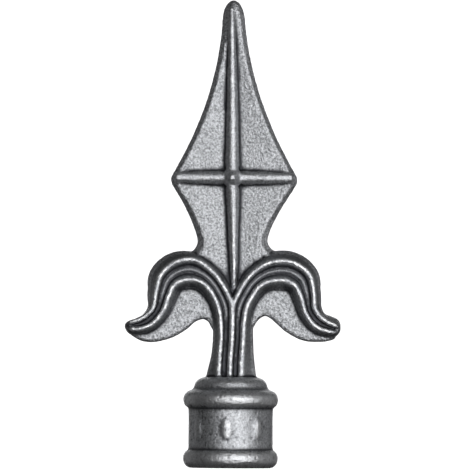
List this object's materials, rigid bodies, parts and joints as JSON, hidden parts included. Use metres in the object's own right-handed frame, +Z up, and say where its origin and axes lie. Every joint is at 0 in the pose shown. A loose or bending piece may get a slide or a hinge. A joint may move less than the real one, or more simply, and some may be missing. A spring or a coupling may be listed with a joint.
{
  "type": "fence spear finial",
  "caption": "Cast-iron spear finial with a ribbed blade, scrolled arms and a round socket that caps a fence bar.",
  "frame": {"origin": "centre of the socket's rim, at the underside that the finial stands on", "axes": "+Z up the spear to its point, -Y out of the front face, +X along the right arm"},
  "size_m": [0.0695, 0.0304, 0.15],
  "materials": {
    "cast_iron": "bare grey iron as cast, with a sandy grain on the flat fields and brighter worn ridges"
  },
  "bodies": {
    "root": {"finial_casting": "cast_iron"}
  },
  "joints": []
}
